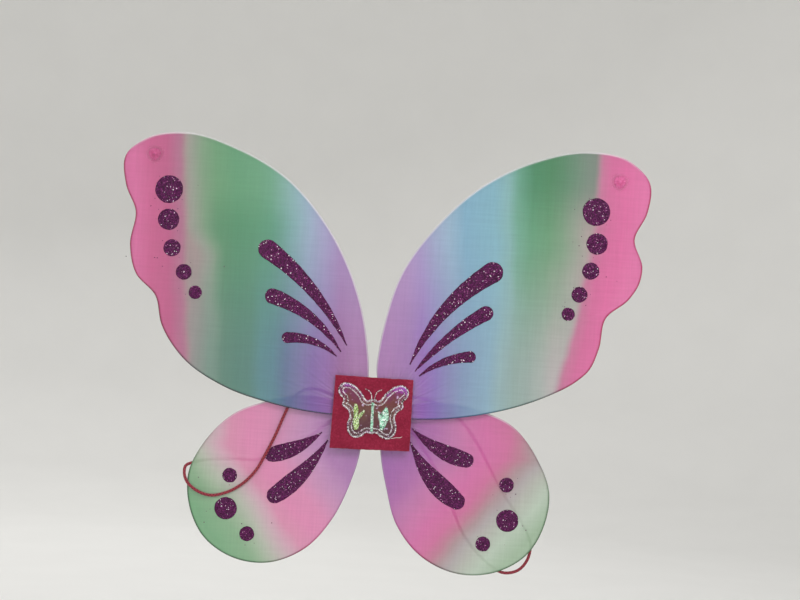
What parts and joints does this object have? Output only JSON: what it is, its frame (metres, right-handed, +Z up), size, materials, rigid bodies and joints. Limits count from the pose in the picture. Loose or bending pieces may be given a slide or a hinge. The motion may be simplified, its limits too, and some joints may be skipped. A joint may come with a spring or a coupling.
{
  "type": "fairy wings",
  "caption": "Wearable butterfly wings: four nylon-sleeved wire loops that fold about a felt-patched centre, with elastic arm loops.",
  "frame": {"origin": "Centre of the back patch's rest face, the face that lies against the wearer's back.", "axes": "+Z is up as worn, +X runs along the span towards the right tip seen from the decorated side, and +Y points out of the back patch towards the wearer, so the decorated side faces -Y."},
  "size_m": [0.4811, 0.0168, 0.3915],
  "materials": {
    "felt": "matt pressed craft felt, crimson",
    "binding_thread": "white polyester thread, wound tightly",
    "hot_glue": "milky hot-melt glue",
    "applique_ground": "thin woven ground of the applique",
    "iridescent_film": "crinkled iridescent film, magenta to green",
    "pale_film": "pale mint iridescent film, crinkled",
    "metallic_stitching": "silver metallic zigzag stitching",
    "elastic": "braided round elastic, crimson",
    "steel_wire": "drawn galvanised wire",
    "upper_nylon": "sheer stretched nylon knit, dyed purple to blue, green, white and pink towards the tips",
    "lower_nylon": "sheer stretched nylon knit, dyed lilac to pink, white and green towards the edge",
    "glitter": "dark plum glitter bound in glue, with white and pink sparkles"
  },
  "bodies": {
    "centre": {"front_patch": "felt", "back_patch": "felt", "centre_binding": "binding_thread", "glue_block_top": "hot_glue", "glue_block_bottom": "hot_glue", "applique_backing": "applique_ground", "applique_film": "iridescent_film", "applique_outline": "metallic_stitching", "applique_body": "pale_film", "applique_bars": "pale_film", "applique_antennae": "metallic_stitching", "left_arm_loop": "elastic", "left_loop_knot": "elastic", "right_arm_loop": "elastic", "right_loop_knot": "elastic"},
    "left_upper_wing": {"left_upper_wire": "steel_wire", "left_upper_sleeve": "upper_nylon", "left_upper_tie": "binding_thread", "left_upper_dots": "glitter", "left_upper_drops": "glitter", "left_upper_tip_knot": "upper_nylon"},
    "right_upper_wing": {"right_upper_wire": "steel_wire", "right_upper_sleeve": "upper_nylon", "right_upper_tie": "binding_thread", "right_upper_dots": "glitter", "right_upper_drops": "glitter", "right_upper_tip_knot": "upper_nylon"},
    "left_lower_wing": {"left_lower_wire": "steel_wire", "left_lower_sleeve": "lower_nylon", "left_lower_tie": "binding_thread", "left_lower_dots": "glitter", "left_lower_drops": "glitter"},
    "right_lower_wing": {"right_lower_wire": "steel_wire", "right_lower_sleeve": "lower_nylon", "right_lower_tie": "binding_thread", "right_lower_dots": "glitter", "right_lower_drops": "glitter"}
  },
  "joints": [
    {"name": "left_upper_fold", "type": "hinge", "parent": "centre", "child": "left_upper_wing", "pos_m": [-0.005, -0.011, 0], "axis": [0, 0, 1], "range_deg": [-15, 60], "deforming": ["front_patch", "back_patch", "applique_backing", "applique_film", "applique_outline", "applique_bars", "applique_antennae", "left_arm_loop", "left_loop_knot"]},
    {"name": "right_upper_fold", "type": "hinge", "parent": "centre", "child": "right_upper_wing", "pos_m": [0.005, -0.011, 0], "axis": [0, 0, -1], "range_deg": [-15, 60], "deforming": ["right_arm_loop", "right_loop_knot"]},
    {"name": "left_lower_fold", "type": "hinge", "parent": "centre", "child": "left_lower_wing", "pos_m": [-0.005, -0.011, 0], "axis": [0, 0, 1], "range_deg": [-15, 60]},
    {"name": "right_lower_fold", "type": "hinge", "parent": "centre", "child": "right_lower_wing", "pos_m": [0.005, -0.011, 0], "axis": [0, 0, -1], "range_deg": [-15, 60]}
  ],
  "couplings": [
    {"joint": "left_lower_fold", "follows": "left_upper_fold", "ratio": 1},
    {"joint": "right_lower_fold", "follows": "right_upper_fold", "ratio": 1}
  ]
}
